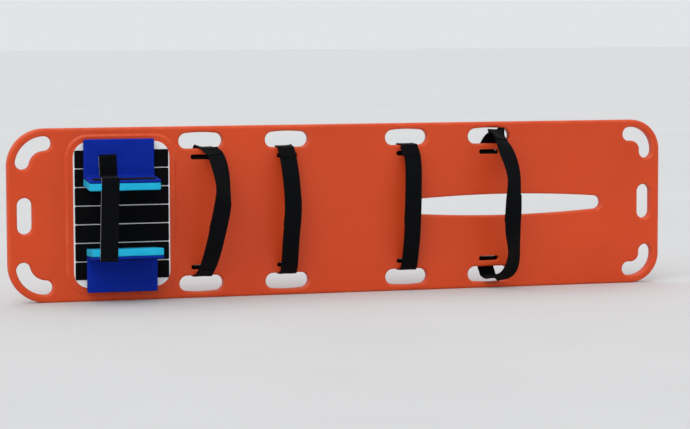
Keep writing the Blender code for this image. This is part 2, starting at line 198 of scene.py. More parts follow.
# Each strap's free stretch, from its upper bar to its lower bar: points
# (sideways shift from the slot, out, v), joined by a smooth curve.
STRAP_ROUTES = (
    ((0.020, 0.0050, 0.1705), (0.034, 0.040, 0.146), (0.038, 0.086, 0.088), (0.034, 0.107, 0.032),
     (0.019, 0.104, -0.045), (0.009, 0.058, -0.125), (0.002, 0.0050, -0.1705)),
    ((-0.006, 0.0050, 0.1705), (-0.004, 0.031, 0.137), (-0.002, 0.056, 0.075), (-0.001, 0.065, 0.005),
     (-0.005, 0.056, -0.070), (-0.002, 0.030, -0.135), (0.000, 0.0050, -0.1705)),
    ((0.005, 0.0050, 0.1705), (0.009, 0.026, 0.135), (0.006, 0.043, 0.075), (0.002, 0.050, 0.005),
     (0.001, 0.043, -0.072), (0.001, 0.026, -0.135), (0.002, 0.0050, -0.1705)),
    ((0.016, 0.0135, 0.2015), (0.024, 0.056, 0.165), (0.036, 0.097, 0.092), (0.031, 0.112, 0.015),
     (0.030, 0.107, -0.055), (0.044, 0.074, -0.132), (0.042, 0.036, -0.184), (0.006, 0.0135, -0.2015)),
)
THROUGH_HANDHOLE = (False, False, False, True)
# Where a loop starts in its slot and where it passes behind the bar, as gaps between the
# webbing's middle and the board: to the slot's inner side, to the bar in the slot, to the
# bar in the handhole, and to the board's back. LOOP_START_ASIDE is how far the loop's first
# two points lie aside of the slot's middle.
LOOP_MOUTH_GAP = 0.0011
LOOP_SLOT_GAP = 0.0025
LOOP_HANDHOLE_GAP = 0.0035
LOOP_BACK_GAP = 0.0015
LOOP_START_OUT = -0.0020
LOOP_START_ASIDE = (0.0012, 0.0020)
# How a loop that hangs in its handhole goes from the bar's back towards the hinge: (out, v,
# sideways shift).
LOOP_OVER = [(-0.033, 0.187, 0.032), (-0.031, 0.200, 0.035),
             (-0.023, 0.2065, 0.030), (-0.004, 0.2075, 0.021)]
LOOP_BACK_ASIDE = 0.013
LOOP_UNDER = [(-0.026, 0.1825, 0.002), (-0.018, 0.1965, 0.004)]
# How far a loop's corners are eased: one round the bar, and one that hangs in its handhole.
LOOP_BEND = 0.0045
HANGING_BEND = 0.009
# Of this many route points from the hinge on, only the first and the last are kept.
HINGE_POINTS = 5
# Where a strap turns about its own line: (v of the turn, its spread, degrees). The turns
# set in over TWIST_CLEARANCE in front of the face.
STRAP_TWISTS = (
    ((0.068, 0.042, -24.0),),
    (),
    (),
    ((0.070, 0.055, -20.0), (0.190, 0.030, -24.0), (-0.115, 0.050, -27.0)),
)
TWIST_CLEARANCE = 0.025
# The upper hanging loop's own turn, in the same form, and where it starts to set in behind
# the face and over what depth.
LOOP_TURN = (0.198, 0.012, 58.0)
LOOP_TURN_DEPTH = (-0.006, 0.014)

FLOOR_HALF = 60.0
WORLD_COLOUR = (0.95, 0.97, 1.0, 1.0)
WORLD_STRENGTH = 0.80
SENSOR_WIDTH = 36.0
CAMERA_LENS = 125.37
CAMERA_REACH = 100.0
CAMERA_PLACE = (-1.7796, -6.2461, 0.7272)
CAMERA_RIGHT = (0.96156, -0.27456, -0.00329)
CAMERA_UP = (0.02490, 0.07525, 0.99685)


def place(u, v, out):
    """Board coordinates to world coordinates."""
    return Vector((u, -THICKNESS / 2 - out, v + WIDTH / 2))


def board_box(node):
    """A CAD node's lowest and highest corner, as board coordinates (u, v, out)."""
    low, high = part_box(node)
    return (Vector((low.x, low.z - WIDTH / 2, -high.y - THICKNESS / 2)),
            Vector((high.x, high.z - WIDTH / 2, -low.y - THICKNESS / 2)))


# ---------------------------------------------------------------- materials
class Material:
    """A procedural material: a Principled shader and the nodes that feed it."""

    def __init__(self, name, **sockets):
        self.data = bpy.data.materials.new(name)
        self.data.use_nodes = True
        self.tree = self.data.node_tree
        self.shader = self.tree.nodes["Principled BSDF"]
        self.bumped = None
        for name, value in sockets.items():
            socket = name.replace("_", " ").title().replace("Ior", "IOR")
            self.shader.inputs[socket].default_value = value
        self.place = self.node("ShaderNodeTexCoord").outputs["Object"]

    def node(self, kind, inputs=None, **settings):
        made = self.tree.nodes.new(kind)
        for name, value in settings.items():
            setattr(made, name, value)
        for name, value in (inputs or {}).items():
            self.feed(made.inputs[name], value)
        return made

    def feed(self, socket, value):
        if isinstance(value, bpy.types.NodeSocket):
            self.tree.links.new(value, socket)
        else:
            socket.default_value = value

    def stretched(self, *scale):
        return self.node("ShaderNodeMapping", {"Vector": self.place, "Scale": scale}).outputs["Vector"]

    def noise(self, scale, detail=2.0, roughness=0.5, at=None):
        made = self.node("ShaderNodeTexNoise", {"Vector": at or self.place, "Scale": scale,
                                                "Detail": detail, "Roughness": roughness})
        return made.outputs["Fac"]

    def cells(self, scale):
        made = self.node("ShaderNodeTexVoronoi", {"Vector": self.place, "Scale": scale})
        return made.outputs["Distance"]

    def math(self, operation, first, second=0.0):
        made = self.node("ShaderNodeMath", operation=operation)
        self.feed(made.inputs[0], first)
        self.feed(made.inputs[1], second)
        return made.outputs[0]

    def span(self, value, low, high, start=0.0, end=1.0):
        """Maps value from low..high to start..end, held at both ends."""
        made = self.node("ShaderNodeMapRange", {"Value": value, "From Min": low, "From Max": high,
                                                "To Min": start, "To Max": end})
        return made.outputs["Result"]

    def mix(self, share, first, second):
        made = self.node("ShaderNodeMix", data_type="RGBA")
        self.feed(made.inputs[0], share)
        self.feed(made.inputs[6], first if isinstance(first, bpy.types.NodeSocket) else (*first, 1.0))
        self.feed(made.inputs[7], second if isinstance(second, bpy.types.NodeSocket) else (*second, 1.0))
        return made.outputs[2]

    def attribute(self, name):
        return self.node("ShaderNodeAttribute", attribute_name=name).outputs["Fac"]

    def uv(self):
        """The texture coordinates along a ribbon, in metres: across it, and along it."""
        parts = self.node("ShaderNodeSeparateXYZ", {"Vector": self.node("ShaderNodeTexCoord").outputs["UV"]})
        return parts.outputs["X"], parts.outputs["Y"]

    def bump(self, height, distance, strength=1.0):
        inputs = {"Height": height, "Distance": distance, "Strength": strength}
        if self.bumped:
            inputs["Normal"] = self.bumped
        self.bumped = self.node("ShaderNodeBump", inputs).outputs["Normal"]
        self.feed(self.shader.inputs["Normal"], self.bumped)

    def colour(self, value):
        self.feed(self.shader.inputs["Base Color"], value)

    def roughness(self, value):
        self.feed(self.shader.inputs["Roughness"], value)


def moulded_plastic(name, deep, light, worn):
    """Rotomoulded polyethylene: pebbled skin, faint streaks and scuffs, paler where edges rub."""
    mat = Material(name, specular_ior_level=0.36)
    clouds = mat.noise(3.2, 5.0, 0.55)
    grain = mat.noise(260.0, 2.0)
    tone = mat.mix(mat.span(clouds, 0.30, 0.70), deep, light)
    tone = mat.mix(mat.span(grain, 0.35, 0.75, 0.0, 0.22), tone, light)
    scuffs = mat.noise(1.0, 6.0, 0.72, mat.stretched(9.0, 9.0, 120.0))
    patches = mat.noise(7.0, 3.0)
    scuffed = mat.math("MULTIPLY", mat.span(scuffs, 0.60, 0.74), mat.span(patches, 0.48, 0.66))
    rubbed = mat.math("MULTIPLY", mat.attribute("wear"), mat.span(mat.noise(24.0, 4.0, 0.7), 0.42, 0.68))
    marks = mat.math("ADD", mat.math("MULTIPLY", scuffed, 0.28), mat.math("MULTIPLY", rubbed, 0.42))
    mat.colour(mat.mix(marks, tone, worn))
    rough = mat.span(clouds, 0.25, 0.75, 0.40, 0.52)
    mat.roughness(mat.math("ADD", rough, mat.math("MULTIPLY", marks, 0.25)))
    mat.bump(mat.noise(5.0, 2.0), 0.0050, 0.35)
    mat.bump(mat.noise(320.0, 2.5, 0.6), 0.0003, 0.55)
    mat.bump(scuffs, 0.0001, 0.4)
    return mat.data


def white_sheet():
    mat = Material("white_plate_sheet", specular_ior_level=0.45)
    clouds = mat.noise(14.0, 4.0)
    scratches = mat.noise(1.0, 5.0, 0.7, mat.stretched(160.0, 160.0, 8.0))
    tone = mat.mix(mat.span(clouds, 0.3, 0.75), (0.78, 0.80, 0.82), (0.88, 0.89, 0.90))
    mat.colour(mat.mix(mat.span(scratches, 0.62, 0.75, 0.0, 0.35), tone, (0.55, 0.56, 0.57)))
    mat.roughness(mat.span(scratches, 0.3, 0.8, 0.30, 0.55))
    mat.bump(mat.noise(700.0, 2.0), 0.0001, 0.5)
    return mat.data


def hook_tape():
    """Woven tape with rows of small stiff hooks."""
    mat = Material("hook_tape", specular_ior_level=0.05, sheen_weight=0.02, sheen_roughness=0.6)
    hooks = mat.cells(620.0)
    rows = mat.node("ShaderNodeTexWave", {"Vector": mat.place, "Scale": 160.0, "Distortion": 0.6},
                    bands_direction="Z").outputs["Fac"]
    lint = mat.noise(900.0, 3.0, 0.7)
    # Painted highlight and shade: each hook cell is lighter at its middle, where a hook's top would catch
    # light, and darker towards its edges.
    tone = mat.mix(mat.span(hooks, 0.1, 0.6), (0.0045, 0.0045, 0.0055), (0.0012, 0.0012, 0.0016))
    fluff = mat.math("MULTIPLY", mat.span(lint, 0.66, 0.78), mat.span(mat.noise(30.0, 3.0), 0.5, 0.7))
    mat.colour(mat.mix(mat.math("MULTIPLY", fluff, 0.5), tone, (0.035, 0.035, 0.037)))
    mat.roughness(mat.span(hooks, 0.0, 0.7, 0.62, 0.95))
    mat.bump(rows, 0.0003, 0.4)
    mat.bump(hooks, 0.0006, 0.8)
    return mat.data


def coated_foam(name, deep, light, specular):
    """Closed-cell foam with a thin dipped skin: soft clouds, fine cells and small dents."""
    mat = Material(name, specular_ior_level=specular, sheen_weight=0.01, sheen_roughness=0.5)
    clouds = mat.noise(16.0, 5.0, 0.6)
    cells = mat.cells(1100.0)
    tone = mat.mix(mat.span(clouds, 0.3, 0.7), deep, light)
    mat.colour(mat.mix(mat.span(cells, 0.2, 0.7, 0.0, 0.16), tone, light))
    mat.roughness(mat.span(clouds, 0.25, 0.75, 0.50, 0.68))
    mat.bump(mat.noise(60.0, 3.0), 0.0008, 0.3)
    mat.bump(cells, 0.0002, 0.55)
    return mat.data


def webbing(name, deep, light):
    """Plain weave along the ribbon: warp columns whose weft ribs step by half a pitch."""
    mat = Material(name, specular_ior_level=0.07, sheen_weight=0.03, sheen_roughness=0.45)
    across, along = mat.uv()
    column = mat.math("DIVIDE", across, WEAVE_PITCH[0])
    ribs = mat.math("ADD", mat.math("MULTIPLY", along, 2 * math.pi / WEAVE_PITCH[1]),
                    mat.math("MULTIPLY", mat.math("FLOOR", column), math.pi))
    warp = mat.math("ABSOLUTE", mat.math("SINE", mat.math("MULTIPLY", column, math.pi)))
    weave = mat.math("MULTIPLY", warp, mat.span(mat.math("SINE", ribs), -1.0, 1.0, 0.35, 1.0))
    wear = mat.noise(38.0, 4.0, 0.65)
    mat.colour(mat.mix(mat.math("MULTIPLY", weave, mat.span(wear, 0.3, 0.75, 0.35, 1.0)), deep, light))
    mat.roughness(mat.span(weave, 0.0, 1.0, 0.92, 0.66))
    mat.bump(wear, 0.0006, 0.25)
    mat.bump(weave, 0.0003, 0.8)
    return mat.data


def thread():
    mat = Material("sewing_thread", specular_ior_level=0.4, sheen_weight=0.1)
    twist = mat.noise(1.0, 2.0, 0.5, mat.stretched(1800.0, 1800.0, 900.0))
    mat.colour(mat.mix(twist, (0.010, 0.011, 0.013), (0.034, 0.036, 0.040)))
    mat.roughness(mat.span(twist, 0.3, 0.7, 0.5, 0.8))
    mat.bump(twist, 0.0001, 0.5)
    return mat.data


def core_foam():
    mat = Material("core_foam_cells")
    cells = mat.cells(500.0)
    mat.colour(mat.mix(mat.span(cells, 0.1, 0.7), (0.80, 0.76, 0.60), (0.62, 0.57, 0.42)))
    mat.roughness(mat.span(cells, 0.0, 0.8, 0.80, 0.98))
    mat.bump(cells, 0.0008, 0.8)
    return mat.data


def fibreglass():
    mat = Material("rod_fibreglass_strands")
    strands = mat.noise(1.0, 4.0, 0.6, mat.stretched(20.0, 1500.0, 1500.0))
    mat.colour(mat.mix(strands, (0.06, 0.06, 0.065), (0.16, 0.16, 0.15)))
    mat.roughness(mat.span(strands, 0.3, 0.7, 0.35, 0.6))
    mat.bump(strands, 0.0001, 0.4)
    return mat.data


def floor_paint():
    mat = Material("floor_paint", specular_ior_level=0.2)
    clouds = mat.noise(1.4, 4.0)
    mat.colour(mat.mix(mat.span(clouds, 0.3, 0.7), (0.575, 0.575, 0.575), (0.600, 0.600, 0.600)))
    mat.roughness(mat.span(clouds, 0.3, 0.7, 0.75, 0.85))
    return mat.data


ORANGE = moulded_plastic("orange_polyethylene", (0.60, 0.049, 0.0040), (0.68, 0.062, 0.0062),
                         (0.80, 0.17, 0.050))
PLUG = moulded_plastic("plug_polyethylene", (0.52, 0.042, 0.006), (0.60, 0.055, 0.009),
                       (0.75, 0.18, 0.07))
WHITE = white_sheet()
HOOK = hook_tape()
BLUE = coated_foam("blue_foam", (0.0010, 0.0165, 0.27), (0.0020, 0.0230, 0.34), 0.07)
CYAN = coated_foam("cyan_foam", (0.0080, 0.400, 0.640), (0.0250, 0.480, 0.740), 0.07)
WEB = webbing("black_webbing", (0.0008, 0.0010, 0.0014), (0.0042, 0.0050, 0.0068))
GREY_EDGE_LAYER = webbing("grey_edge_layer", (0.16, 0.16, 0.19), (0.42, 0.42, 0.47))
THREAD = thread()
CORE = core_foam()
ROD = fibreglass()


# ---------------------------------------------------------------- flat outlines (u, v)
def arc(centre, radius, start, end, steps):
    """Points on an arc, angles in degrees."""
    points = []
    for i in range(steps + 1):
        angle = math.radians(start + (end - start) * i / steps)
        points.append((centre[0] + radius * math.cos(angle), centre[1] + radius * math.sin(angle)))
    return points


def rounded_rect(centre, size, radii, grow=0.0, steps=12):
    """A rectangle whose two +u corners and two -u corners have the two radii."""
    loop = []
    for quarter, (su, sv) in enumerate(((1, 1), (-1, 1), (-1, -1), (1, -1))):
        radius = radii[0] if su > 0 else radii[1]
        corner = (centre[0] + su * (size[0] / 2 - radius), centre[1] + sv * (size[1] / 2 - radius))
        loop += arc(corner, radius + grow, 90 * quarter, 90 * quarter + 90, steps)
    return loop


def board_outline(grow=0.0):
    return rounded_rect((0, 0), (LENGTH, WIDTH), (CORNER_R["foot"], CORNER_R["head"]), grow, 20)


def long_slot(left, right, halves, bows, grow=0.0, steps=14):
    """Two round ends of radii halves, at left and right on the u axis, and sides that bow out."""
    count = 12

    def side(fraction, bow):
        straight = halves[0] + (halves[1] - halves[0]) * fraction
        return left + (right - left) * fraction, straight + 4 * bow * fraction * (1 - fraction) + grow

    inner = [i / count for i in range(1, count)]
    loop = arc((right, 0), halves[1] + grow, -90, 90, steps)
    loop += [side(1 - f, bows[0]) for f in inner]
    loop += arc((left, 0), halves[0] + grow, 90, 270, steps)
    loop += [(u, -v) for u, v in (side(f, bows[1]) for f in inner)]
    return loop


def slot_at(centre, size, bows=(0.0, 0.0), grow=0.0, steps=14):
    """A round-ended slot along u, at its centre."""
    half = size[1] / 2
    reach = size[0] / 2 - half
    loop = long_slot(-reach, reach, (half, half), bows, grow, steps)
    return [(centre[0] + u, centre[1] + v) for u, v in loop]


def end_hole(side, grow):
    """The grip at one end of the board, which is a slot along v."""
    return [(side * END_HOLE_U - v, u) for u, v in slot_at((0, 0), END_HOLE, grow=grow)]


def handhole(u, side, grow):
    """A side grip whose outer side arches gently."""
    bows = (HANDHOLE_ARCH, 0.0) if side > 0 else (0.0, HANDHOLE_ARCH)
    return slot_at((u, side * HANDHOLE_V), HANDHOLE, bows, grow)


def corner_hole(side_u, side_v, grow, steps=14):
    """A curved hand grip that follows the board's corner, with round ends."""
    end_name = "foot" if side_u > 0 else "head"
    corner_r = CORNER_R[end_name]
    centre = (LENGTH / 2 - corner_r, WIDTH / 2 - corner_r)
    half = CORNER_HOLE_BAND / 2
    middle_r = corner_r - CORNER_HOLE_RIM - half
    start, end = CORNER_HOLE_ARC[end_name]
    first = arc(centre, middle_r, start, start, 1)[0]
    last = arc(centre, middle_r, end, end, 1)[0]
    loop = arc(centre, middle_r + half + grow, start, end, steps)[1:-1]
    loop += arc(last, half + grow, end, end + 180, steps)
    loop += arc(centre, middle_r - half - grow, end, start, steps)[1:-1]
    loop += arc(first, half + grow, start + 180, start + 360, steps)
    loop = [(side_u * u, side_v * v) for u, v in loop]
    return loop if side_u * side_v > 0 else loop[::-1]


def leg_slot(grow):
    left_half, middle_half, right_half = LEG_SLOT_HALF
    bow = middle_half - (left_half + right_half) / 2
    return long_slot(LEG_SLOT[0] + left_half, LEG_SLOT[1] - right_half, (left_half, right_half),
                     (bow, bow), grow)


# ---------------------------------------------------------------- walls with their own normals
def new_surface():
    """A bmesh whose vertices also keep the normal and the edge wear of the real surface."""
    bm = bmesh.new()
    bm.verts.layers.float_vector.new("own_normal")
    bm.verts.layers.float.new("wear")
    return bm


def ring(bm, loop, out, slope):
    """One ring of a wall. slope is the surface's normal there: (outward of the loop, out)."""
    own_normal = bm.verts.layers.float_vector["own_normal"]
    wear = bm.verts.layers.float["wear"]
    verts = []
    count = len(loop)
    for i, (u, v) in enumerate(loop):
        before, after = loop[i - 1], loop[(i + 1) % count]
        outward = Vector((after[1] - before[1], before[0] - after[0])).normalized()
        vert = bm.verts.new(place(u, v, out))
        vert[own_normal] = (outward.x * slope[0], -slope[1], outward.y * slope[0])
        vert[wear] = min(1.0, 2.0 * abs(slope[0] * slope[1]))
        verts.append(vert)
    return verts


def bridge(bm, first, second):
    count = len(first)
    for i in range(count):
        j = (i + 1) % count
        bm.faces.new((first[i], first[j], second[j], second[i]))


def fill(bm, rings):
    """Fills the flat region between an outer ring and any rings inside it."""
    edges = []
    for verts in rings:
        for a, b in zip(verts, verts[1:] + verts[:1]):
            edges.append(bm.edges.get((a, b)) or bm.edges.new((a, b)))
    bmesh.ops.triangle_fill(bm, use_beauty=True, edges=edges, normal=(0, -1, 0))


def wall(bm, loop_at, profile, facing, ends=(1, -1)):
    """Rings along a profile of (grow, out). facing is 1 where the wall faces away from the
    loop, -1 where it faces into it, and ends says which way the flats beside it face."""
    last = len(profile) - 1
    rings = []
    for i, (grow, out) in enumerate(profile):
        before, after = profile[max(i - 1, 0)], profile[min(i + 1, last)]
        slope = Vector((before[1] - after[1], after[0] - before[0])).normalized() * facing
        if i == 0 or i == last:
            slope = (0.0, ends[0] if i == 0 else ends[1])
        rings.append(ring(bm, loop_at(grow), out, slope))
    for first, second in zip(rings, rings[1:]):
        bridge(bm, first, second)
    return rings[0], rings[-1]


def rim_profile(rounding, sign, steps=6):
    """From the patient face round a rim to the back. sign is 1 for the board's edge, where the
    parting line is a groove, and -1 for a hole, where it is a ridge."""
    flat, deep = rounding
    front = []
    for i in range(steps + 1):
        angle = math.radians(90 * i / steps)
        front.append((-sign * flat * (1 - math.sin(angle)), -deep * (1 - math.cos(angle))))
    middle = THICKNESS / 2
    front += [(0.0, -middle + SEAM_BAND[0]), (-SEAM, -middle + SEAM_BAND[1])]
    return front + [(grow, -THICKNESS - out) for grow, out in front[::-1]]


def s_profile(low, high, out, raise_out, steps=8):
    """A smooth step: grow from low to high while out rises by raise_out."""
    points = []
    for i in range(steps + 1):
        t = i / steps
        points.append((low + (high - low) * t, out + raise_out * t * t * (3 - 2 * t)))
    return points


def piece(name, bm, materials, body, nodes):
    """Closes a mesh, gives it its own normals where it has them, and puts it on its body."""
    bmesh.ops.recalc_face_normals(bm, faces=bm.faces)
    mesh = bpy.data.meshes.new(name)
    bm.to_mesh(mesh)
    bm.free()
    mesh.shade_smooth()
    own = mesh.attributes.get("own_normal")
    if own:
        mesh.normals_split_custom_set_from_vertices([Vector(item.vector).normalized() for item in own.data])
        mesh.attributes.remove(mesh.attributes["own_normal"])
    obj = bpy.data.objects.new(name, mesh)
    bpy.context.scene.collection.objects.link(obj)
    for mat in materials:
        mesh.materials.append(mat)
    if body:
        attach(obj, body)
    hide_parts(*nodes)
    return obj


# ---------------------------------------------------------------- the board
def board():
    bm = new_surface()
    fronts, backs = [], []

    def add(loop_at, rounding, sign):
        first, last = wall(bm, loop_at, rim_profile(rounding, sign), sign)
        fronts.append(first)
        backs.append(last)

    add(board_outline, EDGE_ROUND, 1)
    for side in (1, -1):
        for u in HANDHOLE_U:
            add(lambda grow, u=u: handhole(u, side, grow), HOLE_ROUND, -1)
            add(lambda grow, u=u: slot_at((u, side * WEB_SLOT_V), WEB_SLOT, grow=grow, steps=8),
                SLOT_ROUND, -1)
        add(lambda grow: end_hole(side, grow), HOLE_ROUND, -1)
        for side_v in (1, -1):
            add(lambda grow, v=side_v: corner_hole(side, v, grow), HOLE_ROUND, -1)
    add(leg_slot, HOLE_ROUND, -1)

    low, high = board_box("head_base_plate")
    centre = ((low.x + high.x) / 2, 0.0)
    size = (high.x - low.x + 2 * PLATEAU_MARGIN, high.y - low.y + 2 * PLATEAU_MARGIN)
    radii = (PLATE_CORNER + PLATEAU_MARGIN,) * 2
    base, top = wall(bm, lambda grow: rounded_rect(centre, size, radii, grow),
                     s_profile(PLATEAU_BEVEL + STEP_OVERRUN, -STEP_OVERRUN, 0.0, PLATEAU_RAISE),
                     -1, (1, 1))
    fronts.append(base)
    fill(bm, [top])
    for side in (1, -1):
        base, top = wall(bm, lambda grow: slot_at((0, side * RUNNER_V), RUNNER, grow=grow),
                         s_profile(STEP_OVERRUN, -RUNNER_BEVEL - STEP_OVERRUN, -THICKNESS, -RUNNER_RAISE),
                         1, (-1, -1))
        backs.append(base)
        fill(bm, [top])
    fill(bm, fronts)
    fill(bm, backs)
    piece("board_moulding", bm, [ORANGE], "board", ["board_shell"])


def port_plug(end):
    """Push-in plug on the back: a domed flange with a shallow dish."""
    node = "port_plug_" + end
    low, high = board_box(node)
    centre = ((low.x + high.x) / 2, (low.y + high.y) / 2)
    radius = (high.x - low.x) / 2
    back = -THICKNESS
    proud = back - low.z
    profile = [(-inward, back - share * proud) for inward, share in PLUG_PROFILE]
    bm = new_surface()
    first, last = wall(bm, lambda grow: arc(centre, radius + grow, 0, 360, 40)[:-1], profile, 1, (1, -1))
    fill(bm, [first])
    fill(bm, [last])
    piece(node + "_flange", bm, [PLUG], "board", [node])


# ---------------------------------------------------------------- the head immobiliser
def slab_profile(back, front, radius, steps=4):
    """Front face to back face of a flat piece, with both its edges rounded."""
    points = []
    for i in range(steps + 1):
        angle = math.radians(90 * i / steps)
        points.append((-radius * (1 - math.sin(angle)), front - radius * (1 - math.cos(angle))))
    middle = (front + back) / 2
    return points + [(grow, 2 * middle - out) for grow, out in points[::-1]]


def slab(name, loop_at, profile, mat, body, node):
    bm = new_surface()
    first, last = wall(bm, loop_at, profile, 1)
    fill(bm, [first])
    fill(bm, [last])
    return piece(name, bm, [mat], body, [node])


def head_base():
    low, high = board_box("head_base_plate")
    centre, size = ((low.x + high.x) / 2, 0.0), (high.x - low.x, high.y - low.y)
    slab("base_sheet", lambda grow: rounded_rect(centre, size, (PLATE_CORNER,) * 2, grow),
         slab_profile(low.z, high.z, PLATE_ROUND), WHITE, "board", "head_base_plate")
    for number in range(1, STRIP_COUNT + 1):
        node = "hook_strip_%d" % number
        low, high = board_box(node)
        centre = ((low.x + high.x) / 2, (low.y + high.y) / 2)
        size = (high.x - low.x, high.y - low.y - 2 * STRIP_TRIM)
        selvedge = low.z + STRIP_SELVEDGE_SHARE * (high.z - low.z)
        profile = [(-STRIP_SELVEDGE - STRIP_BEVEL, high.z), (-STRIP_SELVEDGE, high.z - PILE_DROP),
                   (-STRIP_SELVEDGE + PILE_FLARE, selvedge), (-STRIP_BEVEL, selvedge),
                   (0.0, selvedge - STRIP_BEVEL), (0.0, low.z + STRIP_FOOT), (-STRIP_BEVEL, low.z)]
        slab("hook_strip_%d_pile" % number,
             lambda grow, c=centre, s=size: rounded_rect(c, s, (STRIP_CORNER + STRIP_SELVEDGE,) * 2, grow, 5),
             profile, HOOK, "board", node)


def settled_foam(obj, seed):
    """Remeshes a foam solid so that its edges soften, then dents it slightly."""
    remesh = obj.modifiers.new("even", "REMESH")
    remesh.mode = "VOXEL"
    remesh.voxel_size = FOAM_VOXEL
    soften = obj.modifiers.new("soften", "SMOOTH")
    soften.iterations = FOAM_SMOOTHING
    soften.factor = 0.5
    graph = bpy.context.evaluated_depsgraph_get()
    mesh = bpy.data.meshes.new_from_object(obj.evaluated_get(graph))
    obj.modifiers.clear()
    materials = list(obj.data.materials)
    old, obj.data = obj.data, mesh
    bpy.data.meshes.remove(old)
    mesh.materials.clear()
    for mat in materials:
        mesh.materials.append(mat)
    normals = [v.normal.copy() for v in mesh.vertices]
    shift = Vector((seed * 3.1, seed * 1.7, seed * 0.9))
    for vert, normal in zip(mesh.vertices, normals):
        broad, fine = [noise.noise(vert.co * scale + shift) for scale in DENT_SCALES]
        vert.co += normal * (FOAM_DENT * broad + FINE_DENT_SHARE * FOAM_DENT * fine - 0.5 * FOAM_DENT)
    mesh.shade_smooth()


def foam_solid(name, section, ends, mat, body, node, seed):
    """A closed (v, out) section along the board's length, as one soft foam piece."""
    bm = bmesh.new()
    rings = [[bm.verts.new(place(u, v, out)) for v, out in section] for u in ends]
    bridge(bm, *rings)
    for end in rings:
        bm.faces.new(end)
    obj = piece(name, bm, [mat], body, [node])
    settled_foam(obj, seed)


def hook_patch(block):
    """The pile under a block, which holds it on the strips."""
    low, high = board_box(block + "_hook_patch")
    centre = ((low.x + high.x) / 2, (low.y + high.y) / 2)
    size = (high.x - low.x, high.y - low.y)
    slab(block + "_patch_pile", lambda grow: rounded_rect(centre, size, (PATCH_CORNER,) * 2, grow, 5),
         slab_profile(low.z, high.z, PATCH_ROUND), HOOK, block, block + "_hook_patch")


def upright_tape(block, face_at):
    """The tape on an upright's outer face, whose flat outline is drawn in (u, out). face_at
    gives v at a lift from the foam and a height."""
    low, high = board_box(block + "_tape")
    centre = ((low.x + high.x) / 2, (low.z + high.z) / 2)
    size = (high.x - low.x, high.z - low.z)
    loop = rounded_rect(centre, size, (TAPE_CORNER,) * 2, 0.0, 5)
    bm = bmesh.new()
    layers = []
    for lift, inset in TAPE_LAYERS:
        layer = []
        for u, out in loop:
            u = centre[0] + (u - centre[0]) * (1 - 2 * inset / size[0])
            out = centre[1] + (out - centre[1]) * (1 - 2 * inset / size[1])
            layer.append(bm.verts.new(place(u, face_at(lift, out), out)))
        layers.append(layer)
    for first, second in zip(layers, layers[1:]):
        bridge(bm, first, second)
    bm.faces.new(layers[0])
    bm.faces.new(layers[-1])
    tape = piece(block + "_tape_pile", bm, [HOOK], block, [block + "_tape"])
    tape.data.set_sharp_from_angle(angle=math.radians(35))


def head_block(block, side, seed):
    """The blue L, its cyan head pad, the hook patch under it and the tape on its upright."""
    low, high = board_box(block + "_foam")
    pad_low, pad_high = board_box(block + "_pad")
    lean = LEANS[block]
    top, back = high.z, low.z
    flange = back + FLANGE_T
    # The pad leans towards the board's middle, so its foot lies inside its box.
    inner = side * (pad_low.y if side > 0 else pad_high.y) - lean
    pad_back = inner + PAD_T
    heel_in = pad_back + FOAM_GAP
    heel_out = heel_in + UPRIGHT_T
    outer = side * (high.y if side > 0 else low.y)

    def leaning(v, out):
        return v + lean * (out - back) / (top - back), out

    foam = [(heel_in, back), (outer, back), (outer, flange), leaning(heel_out, flange),
            leaning(heel_out, top), leaning(heel_in, top)]
    pad = [(inner, back), (pad_back, back), leaning(pad_back, top), leaning(inner, top)]
    ends = (low.x, high.x)
    for part, section, mat, slot in (("foam", foam, BLUE, "blue_foam"), ("pad", pad, CYAN, "cyan_foam")):
        section = [(side * v, out) for v, out in section]
        foam_solid("%s_soft_%s" % (block, part), section, ends, mat, block, "%s_%s" % (block, part),
                   seed + len(part))
    hook_patch(block)
    upright_tape(block, lambda lift, out: side * leaning(heel_out + FOAM_GAP + lift, out)[0])


# ---------------------------------------------------------------- webbing
Station = namedtuple("Station", "point along across normal run")


def smooth_route(points, steps):
    """Catmull-Rom curve through the points."""
    padded = [2 * points[0] - points[1]] + list(points) + [2 * points[-1] - points[-2]]
    route = []
    for i in range(1, len(padded) - 2):
        p0, p1, p2, p3 = padded[i - 1:i + 3]
        for k in range(steps):
            t = k / steps
            route.append(0.5 * (2 * p1 + (p2 - p0) * t + (2 * p0 - 5 * p1 + 4 * p2 - p3) * t * t
                                + (3 * p1 - p0 - 3 * p2 + p3) * t ** 3))
    route.append(points[-1])
    return route


def ease_corners(points, reach, steps=5):
    """The polyline with each inner corner turned into a short curve."""
    path = [points[0]]
    for before, corner, after in zip(points, points[1:], points[2:]):
        start = corner + (before - corner).normalized() * min(reach, 0.45 * (before - corner).length)
        end = corner + (after - corner).normalized() * min(reach, 0.45 * (after - corner).length)
        for i in range(steps + 1):
            t = i / steps
            path.append(start.lerp(corner, t).lerp(corner.lerp(end, t), t))
    path.append(points[-1])
    return path


def even_steps(path, step):
    """The same line with points at about equal distances."""
    runs = [0.0]
    for a, b in zip(path, path[1:]):
        runs.append(runs[-1] + (b - a).length)
    count = max(2, round(runs[-1] / step))
    points = []
    for i in range(count + 1):
        run = runs[-1] * i / count
        k = min(bisect_right(runs, run), len(runs) - 1)
        share = (run - runs[k - 1]) / max(runs[k] - runs[k - 1], 1e-9)
        points.append(path[k - 1].lerp(path[k], min(1.0, share)))
    return points


def stations(path, side, twist_at=lambda point: 0.0):
    """Points of a ribbon, each with the ribbon's own directions; side turns its face outward."""
    found = []
    run = 0.0
    last = len(path) - 1
    for i, point in enumerate(path):
        along = (path[min(i + 1, last)] - path[max(i - 1, 0)]).normalized()
        across = (Vector((1, 0, 0)) - along * along.x).normalized()
        across = Matrix.Rotation(twist_at(point), 3, along) @ across
        normal = along.cross(across) * side
        if i:
            run += (point - path[i - 1]).length
        found.append(Station(point, along, across, normal, run))
    return found


